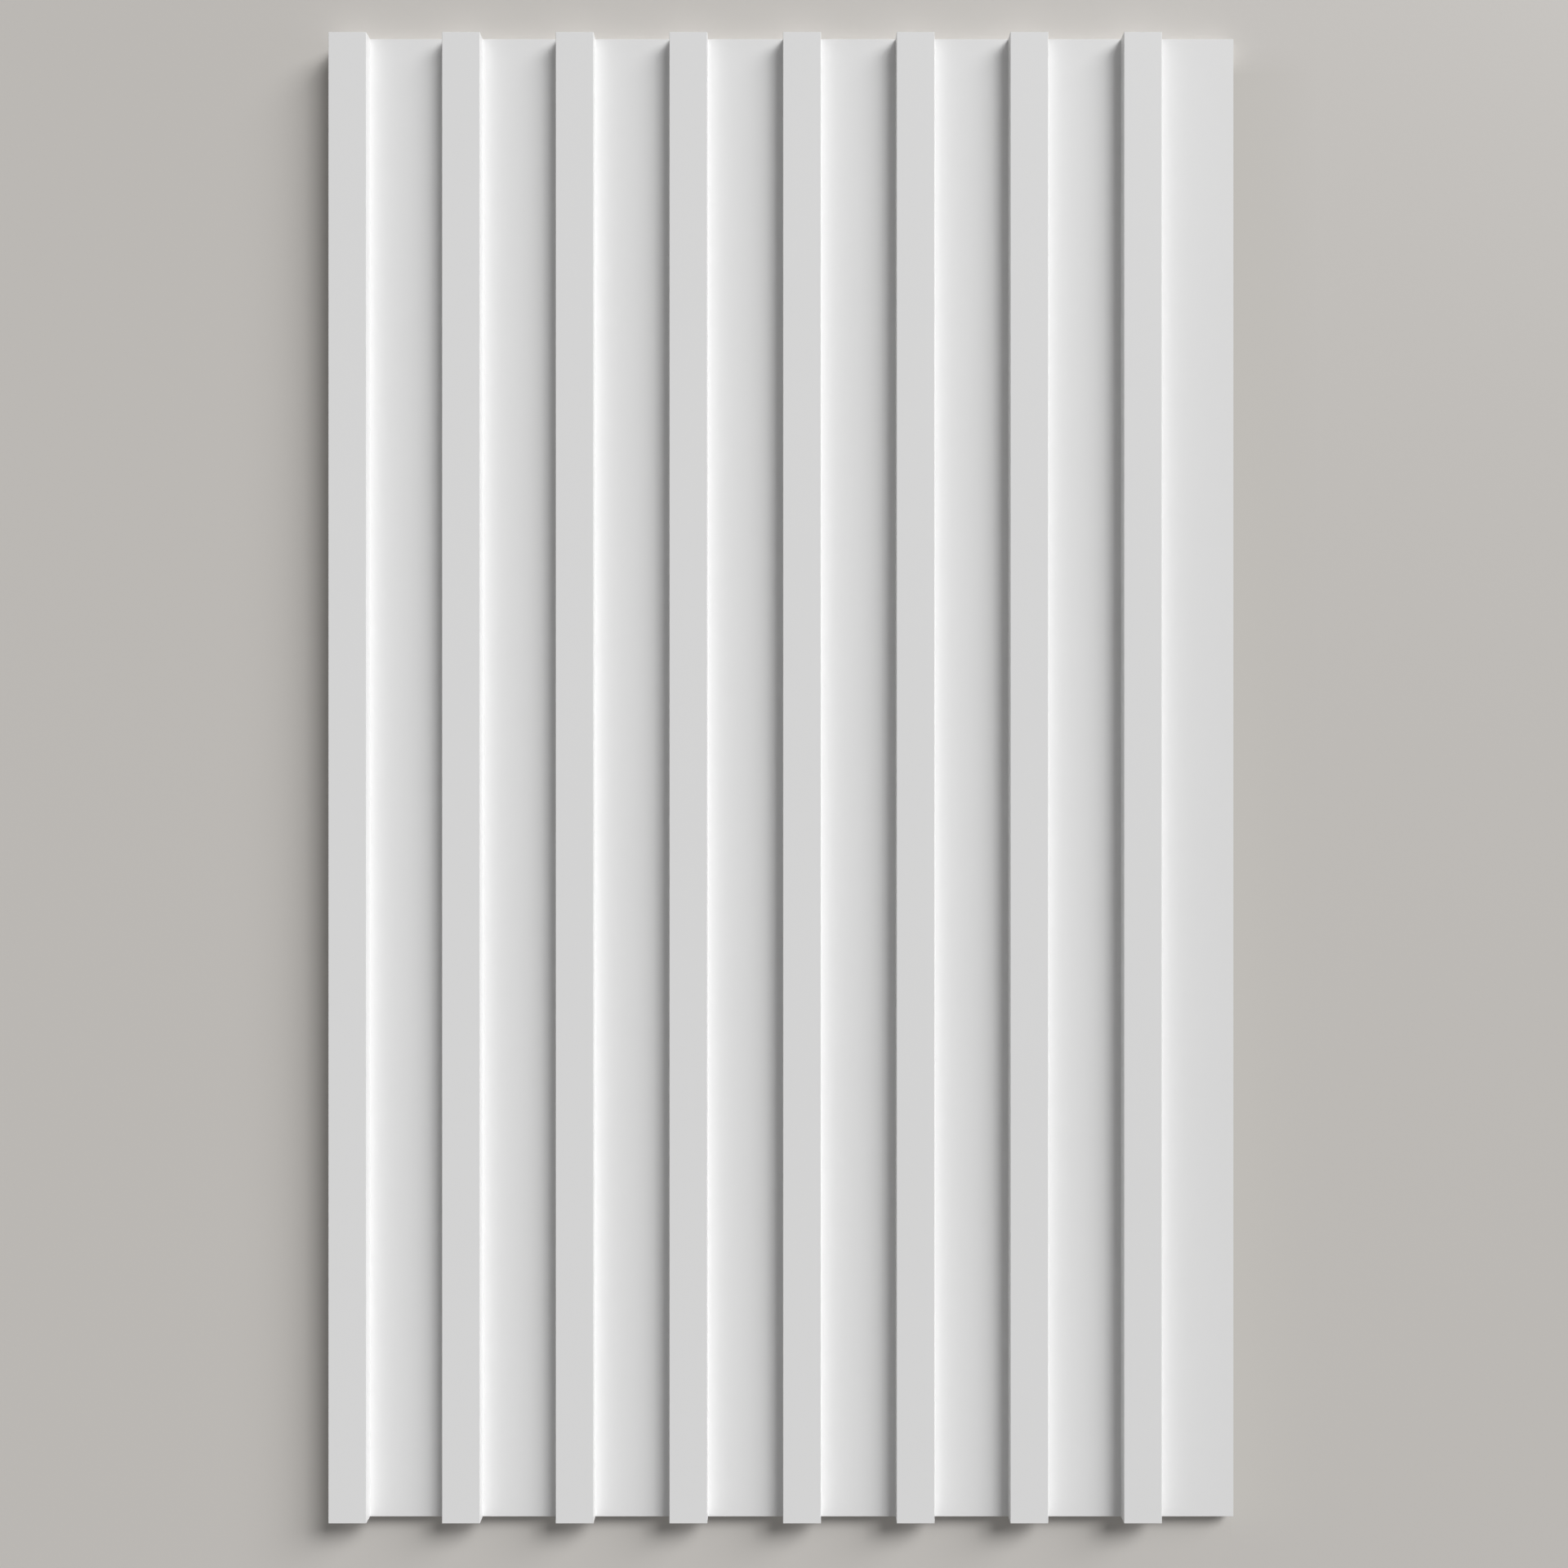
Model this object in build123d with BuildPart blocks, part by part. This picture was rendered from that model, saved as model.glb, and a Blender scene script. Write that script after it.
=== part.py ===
from build123d import *
import os

# Ribbed wall panel, moulded as one piece of stock. Flat ribs with square sides run the
# whole length of a thin base. The first rib is flush with one long edge, and past the
# last rib the base ends in a plain strip as wide as a groove, so that the next panel's
# first rib butts against it and the pattern carries on.
# Millimetres. The panel lies on its flat back, ribs up, with the ribs along Y.

# Driving dimensions
panel_length = 984.0
base_thickness = 10.0
rib_count = 8
rib_width = 25.0
rib_height = 11.0
groove_width = 50.0
arris_radius = 0.25

# Sizes that follow from them
rib_pitch = rib_width + groove_width
panel_width = rib_count * rib_pitch
rib_row_centre = -groove_width / 2

with BuildPart() as wall_panel:
    # Cross-section: the base, and the row of ribs that stands on it
    with BuildSketch(Plane.XZ) as section:
        Rectangle(panel_width, base_thickness, align=(Align.CENTER, Align.MIN))
        with Locations((rib_row_centre, base_thickness)):
            with GridLocations(x_spacing=rib_pitch, y_spacing=0, x_count=rib_count, y_count=1):
                Rectangle(rib_width, rib_height, align=(Align.CENTER, Align.MIN))
    extrude(amount=panel_length / 2, both=True)

    # The long top arrises of the ribs are eased. The butt edges and the ends stay square.
    rib_faces = wall_panel.faces().filter_by(Axis.Z).group_by(Axis.Z)[-1]
    fillet(rib_faces.edges().filter_by(Axis.Y), radius=arris_radius)

wall_panel.part.label = "wall_panel"

os.makedirs("parts", exist_ok=True)
export_step(wall_panel.part, "parts/wall_panel.step")
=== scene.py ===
"""Dresses the ribbed wall panel: its finished mesh, its finishes and the studio it lies in.

Metres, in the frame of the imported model: the panel lies on its flat back at z = 0, ribs up,
with the ribs along Y and the plain strip at +X.
"""

import logging
import math
from dataclasses import dataclass
from enum import Enum, IntEnum
from typing import Any, Mapping, Optional, Sequence, Union

import bpy
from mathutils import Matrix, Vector


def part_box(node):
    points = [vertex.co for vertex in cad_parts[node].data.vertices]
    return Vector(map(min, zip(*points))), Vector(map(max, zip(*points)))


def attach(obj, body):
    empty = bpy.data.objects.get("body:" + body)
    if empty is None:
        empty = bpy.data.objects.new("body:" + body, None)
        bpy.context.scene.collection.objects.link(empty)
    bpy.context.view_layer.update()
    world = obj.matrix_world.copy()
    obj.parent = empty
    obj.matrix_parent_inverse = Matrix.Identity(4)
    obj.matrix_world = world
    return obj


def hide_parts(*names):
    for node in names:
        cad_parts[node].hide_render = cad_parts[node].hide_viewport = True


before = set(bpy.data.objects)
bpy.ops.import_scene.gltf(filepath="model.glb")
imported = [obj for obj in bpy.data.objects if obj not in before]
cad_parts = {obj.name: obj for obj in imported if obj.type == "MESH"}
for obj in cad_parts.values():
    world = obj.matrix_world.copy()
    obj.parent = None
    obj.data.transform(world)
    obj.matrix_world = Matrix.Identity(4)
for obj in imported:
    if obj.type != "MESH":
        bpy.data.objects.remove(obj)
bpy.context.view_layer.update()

LOG = logging.getLogger("wall_panel")

Colour = tuple[float, float, float]
Number = Union[int, float]
Term = Union["Value", Number]
SocketKey = Union[str, int]

HALF = 0.5
OPAQUE = 1.0
MICRON = 0.000001
PANEL_WHITE: Colour = (0.885, 0.885, 0.885)

# Noise keeps its own scale, because its coordinates are stretched first
UNSCALED = 1.0
# Finer layers of a plain grain
PLAIN_DETAIL = 2.0


class Slot(Enum):
    """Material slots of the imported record."""

    PANEL = "panel_white"


class Body(Enum):
    """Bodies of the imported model. A part with no joints has one."""

    ROOT = "root"


class Node(Enum):
    """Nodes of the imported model."""

    PANEL = "wall_panel"


class Zone(Enum):
    """Surfaces of the panel that have a finish of their own."""

    FACE = "moulded_face"
    ENDS = "sawn_ends"
    BACK = "plain_back"


class BackdropRay(Enum):
    """Kinds of ray that see the backdrop and not the ambient light."""

    CAMERA = "Is Camera Ray"
    GLOSSY = "Is Glossy Ray"
    TRANSMISSION = "Is Transmission Ray"


class RibPoint(IntEnum):
    """Points of the line over one rib and its groove, in order."""

    NEAR_FOOT = 0
    NEAR_ARRIS = 1
    FAR_ARRIS = 2
    FAR_FOOT = 3
    NEXT_FOOT = 4


class BackPoint(IntEnum):
    """Points of the line from the strip round the back to the first rib, in order."""

    STRIP_TOP = 0
    STRIP_BACK = 1
    RIB_BACK = 2
    RIB_FOOT = 3


class Value:
    """One output of a node. Arithmetic on it adds Math nodes to the same tree."""

    def __init__(self, graph: "Graph", socket: bpy.types.NodeSocket) -> None:
        """Wraps a node's output, in the tree that it belongs to."""
        self.graph = graph
        self.socket = socket

    def _math(self, operation: str, *terms: Term) -> "Value":
        """The result of a Math node on the terms, in order."""
        return self.graph.value("ShaderNodeMath", {"operation": operation}, dict(enumerate(terms)))

    def __add__(self, other: Term) -> "Value":
        """Sum."""
        return self._math("ADD", self, other)

    def __radd__(self, other: Number) -> "Value":
        """Sum, with the number first."""
        return self._math("ADD", other, self)

    def __sub__(self, other: Term) -> "Value":
        """Difference."""
        return self._math("SUBTRACT", self, other)

    def __rsub__(self, other: Number) -> "Value":
        """Difference, with the number first."""
        return self._math("SUBTRACT", other, self)

    def __mul__(self, other: Term) -> "Value":
        """Product."""
        return self._math("MULTIPLY", self, other)

    def __rmul__(self, other: Number) -> "Value":
        """Product, with the number first."""
        return self._math("MULTIPLY", other, self)

    def __truediv__(self, other: Term) -> "Value":
        """Quotient."""
        return self._math("DIVIDE", self, other)

    def __rtruediv__(self, other: Number) -> "Value":
        """Quotient, with the number first."""
        return self._math("DIVIDE", other, self)

    def __neg__(self) -> "Value":
        """The value with its sign turned."""
        return 0.0 - self

    def __abs__(self) -> "Value":
        """The value without its sign."""
        return self._math("ABSOLUTE", self)

    def __gt__(self, other: Term) -> "Value":
        """One where the value is greater, and nothing elsewhere."""
        return self._math("GREATER_THAN", self, other)

    def past(self, point: IntEnum) -> "Value":
        """One where an index comes after a point, and nothing elsewhere."""
        return self > point + HALF

    def larger(self, other: Term) -> "Value":
        """The larger of two values."""
        return self._math("MAXIMUM", self, other)

    def smaller(self, other: Term) -> "Value":
        """The smaller of two values."""
        return self._math("MINIMUM", self, other)

    def clamped(self) -> "Value":
        """The value, kept between nothing and one."""
        return self.larger(0.0).smaller(1.0)


class Graph:
    """A node tree under construction, for a finish, the world or a shape."""

    def __init__(self, tree: bpy.types.NodeTree) -> None:
        """Takes a tree to add nodes to."""
        self.tree = tree

    def node(
        self,
        kind: str,
        settings: Optional[Mapping[str, Any]] = None,
        inputs: Optional[Mapping[SocketKey, Any]] = None,
    ) -> bpy.types.Node:
        """Adds a node.

        Args:
            kind: The node's type.
            settings: The node's own properties, which are set first.
            inputs: What each socket, by name or number, is set to or linked from. A list links
                several outputs to one socket.

        Returns:
            The new node.
        """
        made = self.tree.nodes.new(kind)
        for name, setting in (settings or {}).items():
            setattr(made, name, setting)
        for key, given in (inputs or {}).items():
            for source in given if isinstance(given, list) else [given]:
                if isinstance(source, Value):
                    self.tree.links.new(source.socket, made.inputs[key])
                else:
                    made.inputs[key].default_value = source
        return made

    def value(
        self,
        kind: str,
        settings: Optional[Mapping[str, Any]] = None,
        inputs: Optional[Mapping[SocketKey, Any]] = None,
        output: SocketKey = 0,
    ) -> Value:
        """Adds a node as above and takes one of its outputs, by name or number."""
        return Value(self, self.node(kind, settings, inputs).outputs[output])

    def parts(self, vector: Value) -> list[Value]:
        """The X, Y and Z of a vector."""
        split = self.node("ShaderNodeSeparateXYZ", inputs={0: vector})
        return [Value(self, output) for output in split.outputs]


class ShapeGraph(Graph):
    """A Geometry Nodes tree with named inputs for its sizes."""

    def __init__(self, name: str) -> None:
        """Starts an empty tree.

        Args:
            name: The tree's name.
        """
        super().__init__(bpy.data.node_groups.new(name, "GeometryNodeTree"))
        self.tree.interface.new_socket("Geometry", in_out="OUTPUT", socket_type="NodeSocketGeometry")
        self.entry = self.node("NodeGroupInput")
        self.sizes: dict[str, Number] = {}

    def size(self, name: str, setting: Number) -> Value:
        """Adds a named input.

        Args:
            name: The input's name.
            setting: What the modifier sets it to. A whole number makes a count.

        Returns:
            The input, inside the tree.
        """
        kind = "NodeSocketInt" if isinstance(setting, int) else "NodeSocketFloat"
        socket = self.tree.interface.new_socket(name, in_out="INPUT", socket_type=kind)
        self.sizes[socket.identifier] = setting
        return Value(self, self.entry.outputs[name])

    def point(self, x: Term, y: Term, z: Term) -> Value:
        """A vector from its three parts."""
        return self.value("ShaderNodeCombineXYZ", inputs={"X": x, "Y": y, "Z": z})

    def along_y(self) -> Value:
        """How far along Y each point lies."""
        _, along, _ = self.parts(self.value("GeometryNodeInputPosition"))
        return along

    def welded(self, geometry: Value, distance: float) -> Value:
        """A shape with the points that meet made one."""
        inputs = {"Geometry": geometry, "Distance": distance}
        return self.value("GeometryNodeMergeByDistance", inputs=inputs)

    def end_with(self, geometry: Value) -> None:
        """Ends the tree with the finished shape."""
        self.node("NodeGroupOutput", inputs={"Geometry": geometry})

    def set_sizes(self, modifier: bpy.types.NodesModifier) -> None:
        """Gives the tree and its sizes to a modifier.

        Args:
            modifier: A Geometry Nodes modifier that hasn't been evaluated.
        """
        modifier.node_group = self.tree
        for identifier, setting in self.sizes.items():
            modifier[identifier] = setting


class ShadeGraph(Graph):
    """A shader tree that reads a piece's own Object coordinates."""

    def __init__(self, tree: bpy.types.NodeTree) -> None:
        """Empties the tree and adds the coordinates.

        Args:
            tree: The node tree of a material.
        """
        super().__init__(tree)
        tree.nodes.clear()
        self.place = self.value("ShaderNodeTexCoord", output="Object")

    def noise(self, repeats: Sequence[float], detail: float) -> Value:
        """A soft random pattern, centred on nothing.

        Args:
            repeats: Repeats for each metre along X, Y and Z.
            detail: How many finer layers it has.

        Returns:
            The pattern, about half a unit up and down.
        """
        stretched = self.value("ShaderNodeMapping", inputs={"Vector": self.place, "Scale": repeats})
        inputs = {"Vector": stretched, "Scale": UNSCALED, "Detail": detail}
        return self.value("ShaderNodeTexNoise", inputs=inputs) - HALF

    def tinted(self, tone: Colour, level: Value) -> Value:
        """A colour that is made lighter or darker.

        Args:
            tone: The colour.
            level: What it is multiplied by.

        Returns:
            The colour over the surface.
        """
        settings = {"operation": "SCALE"}
        inputs = {0: tone, "Scale": level}
        return self.value("ShaderNodeVectorMath", settings, inputs)


@dataclass(frozen=True)
class Grain:
    """One layer of a random pattern.

    Attributes:
        repeats: Repeats for each metre along X, Y and Z.
        depth: What the pattern is multiplied by.
        detail: How many finer layers it has.
    """

    repeats: tuple[float, float, float]
    depth: float
    detail: float = PLAIN_DETAIL

    @classmethod
    def even(cls, repeats: float, depth: float, detail: float = PLAIN_DETAIL) -> "Grain":
        """A layer with the same repeats for each metre along every axis."""
        return cls((repeats, repeats, repeats), depth, detail)

    def pattern(self, graph: ShadeGraph) -> Value:
        """The layer over the surface, half its depth up and down."""
        return graph.noise(self.repeats, self.detail) * self.depth


@dataclass(frozen=True)
class Finish:
    """A matte finish: a colour, a roughness and a fine relief, each with layers of grain.

    Attributes:
        name: The material's name.
        tone: The colour.
        roughness: The roughness about which its grain varies.
        tone_grain: Layers that make the colour lighter or darker, as shares of it.
        roughness_grain: Layers that are added to the roughness.
        relief_grain: Layers of height, in metres.
        specular: The shader's specular level.
        relief_strength: How much of the relief shows.
        relief_unit: The unit of the relief's height, a metre.
    """

    name: str
    tone: Colour
    roughness: float
    tone_grain: tuple[Grain, ...]
    roughness_grain: tuple[Grain, ...]
    relief_grain: tuple[Grain, ...]
    specular: float = 0.5
    relief_strength: float = 1.0
    relief_unit: float = 1.0

    @staticmethod
    def layered(graph: ShadeGraph, start: float, layers: Sequence[Grain]) -> Value:
        """A value with layers of grain added to it."""
        return sum((layer.pattern(graph) for layer in layers), start)

    def surface(self, graph: ShadeGraph) -> Value:
        """Makes the finish's shader.

        Args:
            graph: The finish's tree.

        Returns:
            The shader, with its colour, roughness and relief over the surface.
        """
        relief = graph.value(
            "ShaderNodeBump",
            inputs={
                "Strength": self.relief_strength,
                "Distance": self.relief_unit,
                "Height": self.layered(graph, 0.0, self.relief_grain),
            },
        )
        return graph.value(
            "ShaderNodeBsdfPrincipled",
            inputs={
                "Base Color": graph.tinted(self.tone, self.layered(graph, 1.0, self.tone_grain)),
                "Roughness": self.layered(graph, self.roughness, self.roughness_grain),
                "Specular IOR Level": self.specular,
                "Normal": relief,
            },
        )

    def build(self) -> bpy.types.Material:
        """Makes the material.

        Returns:
            A procedural material.
        """
        material = bpy.data.materials.new(self.name)
        material.use_nodes = True
        graph = ShadeGraph(material.node_tree)
        graph.node("ShaderNodeOutputMaterial", inputs={"Surface": self.surface(graph)})
        return material


@dataclass(frozen=True)
class MouldedWhite(Finish):
    """Matte white of the moulded faces: fine orange peel, and faint draw lines along the ribs."""

    name: str = Zone.FACE.value
    tone: Colour = PANEL_WHITE
    roughness: float = 0.5
    tone_grain: tuple[Grain, ...] = (
        Grain.even(repeats=7.0, depth=0.012),
        Grain.even(repeats=90.0, depth=0.006),
    )
    roughness_grain: tuple[Grain, ...] = (Grain.even(repeats=28.0, depth=0.08),)
    relief_grain: tuple[Grain, ...] = (
        Grain.even(repeats=450.0, depth=14 * MICRON),
        Grain.even(repeats=2600.0, depth=14 * MICRON),
        Grain(repeats=(1100.0, 4.0, 1100.0), depth=6 * MICRON),
    )


@dataclass(frozen=True)
class SawnWhite(Finish):
    """The square-cut ends: the same white with open pores, and saw lines through the thickness."""

    name: str = Zone.ENDS.value
    tone: Colour = PANEL_WHITE
    roughness: float = 0.75
    tone_grain: tuple[Grain, ...] = (Grain.even(repeats=2200.0, depth=0.06, detail=3.0),)
    roughness_grain: tuple[Grain, ...] = (Grain.even(repeats=300.0, depth=0.1),)
    relief_grain: tuple[Grain, ...] = (
        Grain(repeats=(900.0, 900.0, 45.0), depth=110 * MICRON),
        Grain.even(repeats=2200.0, depth=40 * MICRON, detail=3.0),
    )


@dataclass(frozen=True)
class PlainBack(Finish):
    """The flat back: unprimed, a little greyer, with the coarse even grain of a mould."""

    name: str = Zone.BACK.value
    tone: Colour = (0.80, 0.80, 0.795)
    roughness: float = 0.72
    tone_grain: tuple[Grain, ...] = (
        Grain.even(repeats=5.0, depth=0.03),
        Grain.even(repeats=400.0, depth=0.02),
    )
    roughness_grain: tuple[Grain, ...] = (Grain.even(repeats=15.0, depth=0.1),)
    relief_grain: tuple[Grain, ...] = (
        Grain.even(repeats=260.0, depth=200 * MICRON, detail=4.0),
        Grain.even(repeats=1500.0, depth=40 * MICRON),
    )


@dataclass(frozen=True, kw_only=True)
class FloorPaint(Finish):
    """Plain pale floor round the panel, with the grain of a rolled coat.

    Far out it runs into the even tone of the backdrop, and along the panel's lit edge that flat tone is
    painted over the light the edge bounces onto the floor.

    Attributes:
        panel_low: The panel's lowest corner.
        panel_high: Its highest corner.
        backdrop: The tone behind everything.
        fade_from: How far from the middle the floor starts to turn into the backdrop.
        edge_band: The width of the flat band painted over the edge's bounce light, along the lit edge.
        end_band: The length over which that band starts and ends.
    """

    panel_low: Vector
    panel_high: Vector
    name: str = "floor_paint"
    tone: Colour = (0.664, 0.639, 0.608)
    roughness: float = 0.5
    tone_grain: tuple[Grain, ...] = (Grain.even(repeats=1.5, depth=0.02),)
    roughness_grain: tuple[Grain, ...] = (Grain.even(repeats=7.5, depth=0.05),)
    relief_grain: tuple[Grain, ...] = (Grain.even(repeats=420.0, depth=20 * MICRON),)
    backdrop: Colour = (0.515, 0.497, 0.468)
    fade_from: float = 0.8
    edge_band: float = 0.06
    end_band: float = 0.02

    def far_out(self, graph: ShadeGraph) -> Value:
        """How much of the floor far from the panel is backdrop.

        Args:
            graph: The finish's tree.

        Returns:
            Nothing near the panel, rising to one.
        """
        away = graph.value("ShaderNodeVectorMath", {"operation": "LENGTH"}, {0: graph.place}, "Value")
        rise = (1.0 - self.fade_from / away).clamped()
        return rise * rise

    def painted_over_bounce(self, graph: ShadeGraph) -> Value:
        """How much of the floor along the strip's lit edge is the backdrop's flat tone, painted over the
        light that the edge bounces onto the floor.

        Args:
            graph: The finish's tree.

        Returns:
            One at the edge, falling to nothing over a band. It starts at the head end and runs out
            past the foot end.
        """
        across, along, _ = graph.parts(graph.place)
        out = across - self.panel_high.x
        near = 1.0 - out / self.edge_band
        past_foot = self.panel_low.y - self.end_band
        inside = (self.panel_high.y - along).smaller(along - past_foot) / self.end_band
        # The painted flat tone covers the bounce light next to the strip's lit edge
        return (out > 0.0) * near.clamped() * inside.clamped()

    def surface(self, graph: ShadeGraph) -> Value:
        """Makes the floor's shader.

        Args:
            graph: The finish's tree.

        Returns:
            The paint, mixed with the backdrop's tone.
        """
        # Along the lit edge the floor shows a painted flat tone in place of the edge's bounce light
        share = self.far_out(graph).larger(self.painted_over_bounce(graph))
        pale = graph.value("ShaderNodeEmission", inputs={"Color": (*self.backdrop, OPAQUE)})
        paint = super().surface(graph)
        return graph.value("ShaderNodeMixShader", inputs={0: share, 1: paint, 2: pale})


@dataclass
class RibbedPanel:
    """The panel: flat ribs along a thin base, moulded as one piece.

    Attributes:
        low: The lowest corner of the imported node.
        high: Its highest corner.
        rib_count: How many ribs it has, each with a groove or the plain strip beside it.
        rib_width: The width of a rib.
        base_thickness: The thickness under the grooves and at the strip.
        arris_radius: The ease along the tops of the ribs.
        arris_steps: How many points round it.
        end_arris: The fine ease round the ends.
        end_steps: How many faces round it.
        weld: Points closer than this are made one.
        flat_normal: How square to an axis a face has to be to be shaded flat.
        facing_normal: How far a face has to be turned to an end or the back to take its finish.
        name: The piece's name.
    """

    low: Vector
    high: Vector
    rib_count: int = 8
    rib_width: float = 0.025
    base_thickness: float = 0.010
    arris_radius: float = 0.00025
    arris_steps: int = 6
    end_arris: float = 0.00012
    end_steps: int = 2
    weld: float = 0.00001
    flat_normal: float = 0.998
    facing_normal: float = 0.5
    name: str = "ribbed_panel"

    @property
    def size(self) -> Vector:
        """Width, length and whole thickness."""
        return self.high - self.low

    def finishes(self) -> dict[Zone, bpy.types.Material]:
        """The material of each zone."""
        made = (MouldedWhite(), SawnWhite(), PlainBack())
        return {Zone(finish.name): finish.build() for finish in made}

    def outline(self, graph: ShapeGraph) -> Value:
        """Draws the cross-section, one closed line with the ribs by rule.

        A sweep along +Y turns the section's own Y downwards, so heights are written negative.

        Args:
            graph: The panel's tree.

        Returns:
            The closed outline, with eased arrises on the ribs.
        """
        width = graph.size("Panel width", self.size.x)
        top = graph.size("Whole thickness", self.size.z)
        base = graph.size("Base thickness", self.base_thickness)
        rib = graph.size("Rib width", self.rib_width)
        count = graph.size("Rib count", self.rib_count)
        radius = graph.size("Arris radius", self.arris_radius)
        steps = graph.size("Arris steps", self.arris_steps)
        pitch = width / count
        index = graph.value("GeometryNodeInputIndex")

        # One rib and its groove: up, across, down and along to the next foot
        across = index.past(RibPoint.NEAR_ARRIS) * rib + index.past(RibPoint.FAR_FOOT) * (pitch - rib)
        height = base + (index.past(RibPoint.NEAR_FOOT) - index.past(RibPoint.FAR_ARRIS)) * (top - base)
        rib_line = graph.value(
            "GeometryNodeSetPosition",
            inputs={
                "Geometry": graph.value("GeometryNodeMeshLine", inputs={"Count": len(RibPoint)}),
                "Position": graph.point(across, -height, 0.0),
            },
        )
        feet = graph.value(
            "GeometryNodeMeshLine",
            inputs={
                "Count": count,
                "Start Location": graph.point(width * -HALF, 0.0, 0.0),
                "Offset": graph.point(pitch, 0.0, 0.0),
            },
        )
        ribs = graph.value("GeometryNodeInstanceOnPoints", inputs={"Points": feet, "Instance": rib_line})
        ribs = graph.value("GeometryNodeRealizeInstances", inputs={"Geometry": ribs})

        # The strip's edge, the back and the edge under the first rib
        side = HALF - index.past(BackPoint.STRIP_BACK)
        raised = 1.0 - index.past(BackPoint.STRIP_TOP) + index.past(BackPoint.RIB_BACK)
        back_line = graph.value(
            "GeometryNodeSetPosition",
            inputs={
                "Geometry": graph.value("GeometryNodeMeshLine", inputs={"Count": len(BackPoint)}),
                "Position": graph.point(side * width, -(raised * base), 0.0),
            },
        )
        joined = graph.value("GeometryNodeJoinGeometry", inputs={"Geometry": [ribs, back_line]})
        closed = graph.welded(joined, self.weld)
        line = graph.value("GeometryNodeMeshToCurve", inputs={"Mesh": closed})
        at_top = -graph.along_y() > top - self.weld
        return graph.value(
            "GeometryNodeFilletCurve",
            {"mode": "POLY"},
            {"Curve": line, "Count": steps, "Radius": at_top * radius},
        )

    def tree(self, finishes: Mapping[Zone, bpy.types.Material]) -> ShapeGraph:
        """Builds the panel's Geometry Nodes tree.

        Args:
            finishes: The material of each zone.

        Returns:
            The tree, with its sizes.
        """
        graph = ShapeGraph(self.name)
        profile = self.outline(graph)
        length = graph.size("Panel length", self.size.y)
        path = graph.value(
            "GeometryNodeCurvePrimitiveLine",
            inputs={
                "Start": graph.point(0.0, length * -HALF, 0.0),
                "End": graph.point(0.0, length * HALF, 0.0),
            },
        )
        solid = graph.value(
            "GeometryNodeCurveToMesh",
            inputs={"Curve": path, "Profile Curve": profile, "Fill Caps": True},
        )
        solid = graph.welded(solid, self.weld)

        # The rounded arrises shade smoothly, and the flats stay flat
        normal_x, normal_y, normal_z = graph.parts(graph.value("GeometryNodeInputNormal"))
        flat = abs(normal_x).larger(abs(normal_y)).larger(abs(normal_z)) > self.flat_normal
        solid = graph.value(
            "GeometryNodeSetShadeSmooth",
            inputs={"Geometry": solid, "Selection": flat, "Shade Smooth": False},
        )

        # The edges round the ends are marked for a fine arris
        at_end = abs(graph.along_y()) > length * HALF - self.weld
        solid = graph.value(
            "GeometryNodeStoreNamedAttribute",
            {"data_type": "FLOAT", "domain": "EDGE"},
            {"Geometry": solid, "Name": "bevel_weight_edge", "Value": at_end},
        )
        solid = graph.value("GeometryNodeRealizeInstances", inputs={"Geometry": solid})
        zones = {
            Zone.FACE: True,
            Zone.ENDS: abs(normal_y) > self.facing_normal,
            Zone.BACK: -normal_z > self.facing_normal,
        }
        for zone, where in zones.items():
            inputs = {"Geometry": solid, "Selection": where, "Material": finishes[zone]}
            solid = graph.value("GeometryNodeSetMaterial", inputs=inputs)
        graph.end_with(solid)
        return graph

    def build(self) -> bpy.types.Object:
        """Makes the finished panel, gives it its body and hides the imported node.

        Returns:
            The panel as a plain mesh object at the origin.
        """
        graph = self.tree(self.finishes())
        piece = bpy.data.objects.new(self.name, bpy.data.meshes.new(self.name))
        bpy.context.scene.collection.objects.link(piece)
        graph.set_sizes(piece.modifiers.new("section", "NODES"))
        bevel = piece.modifiers.new("end_arris", "BEVEL")
        bevel.limit_method = "WEIGHT"
        bevel.width = self.end_arris
        bevel.segments = self.end_steps
        evaluated = piece.evaluated_get(bpy.context.evaluated_depsgraph_get())
        mesh = bpy.data.meshes.new_from_object(evaluated)
        piece.modifiers.clear()
        piece.data = mesh
        mesh.name = self.name
        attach(piece, Body.ROOT.value)
        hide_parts(Node.PANEL.value)
        return piece


@dataclass(frozen=True)
class Lamp:
    """A wide soft lamp, far away.

    Attributes:
        name: The lamp's name.
        azimuth_deg: Where it hangs, round from +X towards +Y.
        elevation_deg: How high it hangs over the floor.
        spread_deg: How wide it looks from the panel.
        strength: The strength of its light.
    """

    name: str
    azimuth_deg: float
    elevation_deg: float
    spread_deg: float
    strength: float

    def build(self) -> bpy.types.Object:
        """Hangs the lamp and turns it to the panel.

        Returns:
            The lamp.
        """
        light = bpy.data.lights.new(self.name, "SUN")
        light.energy = self.strength
        light.angle = math.radians(self.spread_deg)
        lamp = bpy.data.objects.new(self.name, light)
        azimuth, elevation = math.radians(self.azimuth_deg), math.radians(self.elevation_deg)
        level = math.cos(elevation)
        towards = Vector((level * math.cos(azimuth), level * math.sin(azimuth), math.sin(elevation)))
        lamp.rotation_euler = towards.to_track_quat("Z", "Y").to_euler()
        lamp.location = towards
        bpy.context.scene.collection.objects.link(lamp)
        return lamp


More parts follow.
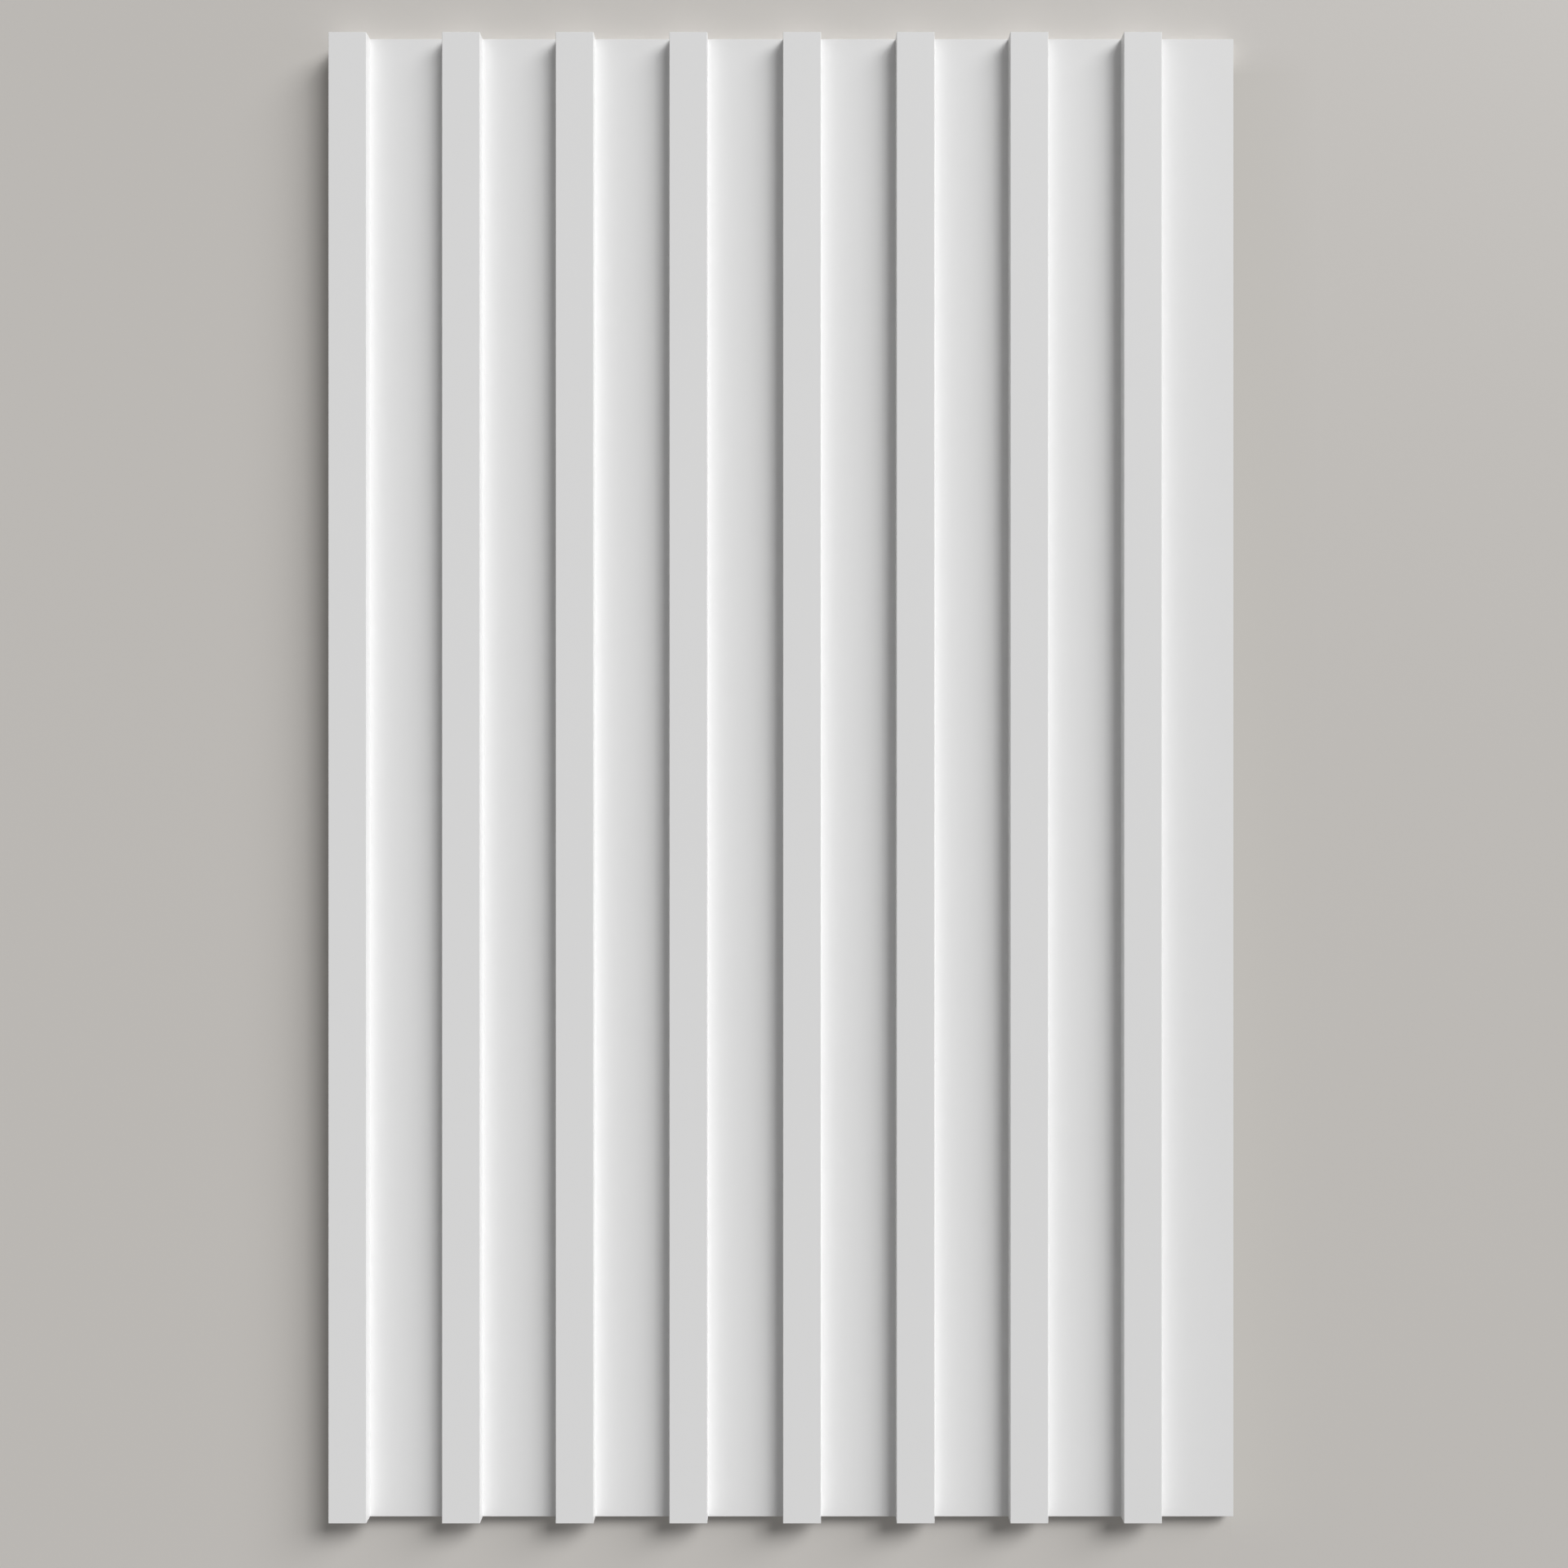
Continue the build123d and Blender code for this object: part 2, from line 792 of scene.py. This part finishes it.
@dataclass
class Studio:
    """The floor, the light and the camera.

    Attributes:
        panel: The panel that lies in it.
        floor_reach: From the middle of the floor to its sides.
        floor_drop: How far the floor lies under the panel's back.
        ambient_tone: The colour of the even light from all round.
        ambient: The strength of that light.
        lamps: The lamps.
        picture_px: The picture's width and height.
        panel_px: The panel's width in the picture, at the level of the rib tops.
        panel_centre_px: The panel's middle in the picture, across and down, at that level.
        sensor_mm: The width of the camera's sensor.
        lens_mm: The focal length.
    """

    panel: RibbedPanel
    floor_reach: float = 200.0
    floor_drop: float = 0.0001
    ambient_tone: Colour = (1.0, 1.0, 1.0)
    ambient: float = 0.19
    lamps: tuple[Lamp, ...] = (
        Lamp("key", azimuth_deg=56.2, elevation_deg=42.0, spread_deg=23.4, strength=1.43),
        Lamp("side", azimuth_deg=39.0, elevation_deg=27.0, spread_deg=30.2, strength=1.68),
    )
    picture_px: int = 1920
    panel_px: float = 1113.6
    panel_centre_px: tuple[float, float] = (958.8, 952.3)
    sensor_mm: float = 36.0
    lens_mm: float = 39.7

    @property
    def paint(self) -> FloorPaint:
        """The floor's finish, set round the panel."""
        return FloorPaint(panel_low=self.panel.low, panel_high=self.panel.high)

    def floor(self) -> bpy.types.Object:
        """Lays the floor just under the panel.

        Returns:
            The floor.
        """
        reach, level = self.floor_reach, self.panel.low.z - self.floor_drop
        square = ((-reach, -reach), (reach, -reach), (reach, reach), (-reach, reach))
        mesh = bpy.data.meshes.new("floor")
        mesh.from_pydata([(x, y, level) for x, y in square], [], [range(len(square))])
        mesh.materials.append(self.paint.build())
        floor = bpy.data.objects.new("floor", mesh)
        bpy.context.scene.collection.objects.link(floor)
        return floor

    def world(self) -> bpy.types.World:
        """Makes an even ambient light, with a pale backdrop where the camera sees past the floor.

        Returns:
            The world.
        """
        world = bpy.data.worlds.new("studio")
        world.use_nodes = True
        world.node_tree.nodes.clear()
        graph = Graph(world.node_tree)
        path = graph.node("ShaderNodeLightPath")
        direct, glossy, through = (Value(graph, path.outputs[ray.value]) for ray in BackdropRay)
        seen = direct.larger(glossy).larger(through)
        light = graph.value(
            "ShaderNodeBackground",
            inputs={"Color": (*self.ambient_tone, OPAQUE), "Strength": self.ambient},
        )
        pale = graph.value("ShaderNodeBackground", inputs={"Color": (*self.paint.backdrop, OPAQUE)})
        mixed = graph.value("ShaderNodeMixShader", inputs={0: seen, 1: light, 2: pale})
        graph.node("ShaderNodeOutputWorld", inputs={"Surface": mixed})
        bpy.context.scene.world = world
        return world

    def camera(self) -> bpy.types.Object:
        """Sets the camera straight above the panel, framed as in the picture.

        Returns:
            The camera.
        """
        panel = self.panel
        metres_per_px = panel.size.x / self.panel_px
        distance = metres_per_px * self.picture_px * self.lens_mm / self.sensor_mm
        middle_px = self.picture_px * HALF
        across_px, down_px = self.panel_centre_px
        lens = bpy.data.cameras.new("camera")
        lens.sensor_width = self.sensor_mm
        lens.lens = self.lens_mm
        camera = bpy.data.objects.new("camera", lens)
        centre = (panel.low + panel.high) * HALF
        camera.location = (
            centre.x + (middle_px - across_px) * metres_per_px,
            centre.y + (down_px - middle_px) * metres_per_px,
            panel.high.z + distance,
        )
        bpy.context.scene.collection.objects.link(camera)
        bpy.context.scene.camera = camera
        return camera

    def build(self) -> None:
        """Sets up everything round the panel."""
        bpy.context.scene.view_settings.view_transform = "Standard"
        lamps = [lamp.build() for lamp in self.lamps]
        for made in (self.floor(), *lamps, self.world(), self.camera()):
            LOG.info("studio: %s", made.name)


def main() -> None:
    """Builds the panel and the studio, and reports each piece."""
    logging.basicConfig(level=logging.INFO, format="%(name)s: %(message)s")
    panel = RibbedPanel(*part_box(Node.PANEL.value))
    piece = panel.build()
    LOG.info("piece %s: %d faces", piece.name, len(piece.data.polygons))
    Studio(panel).build()


if __name__ == "__main__":
    main()
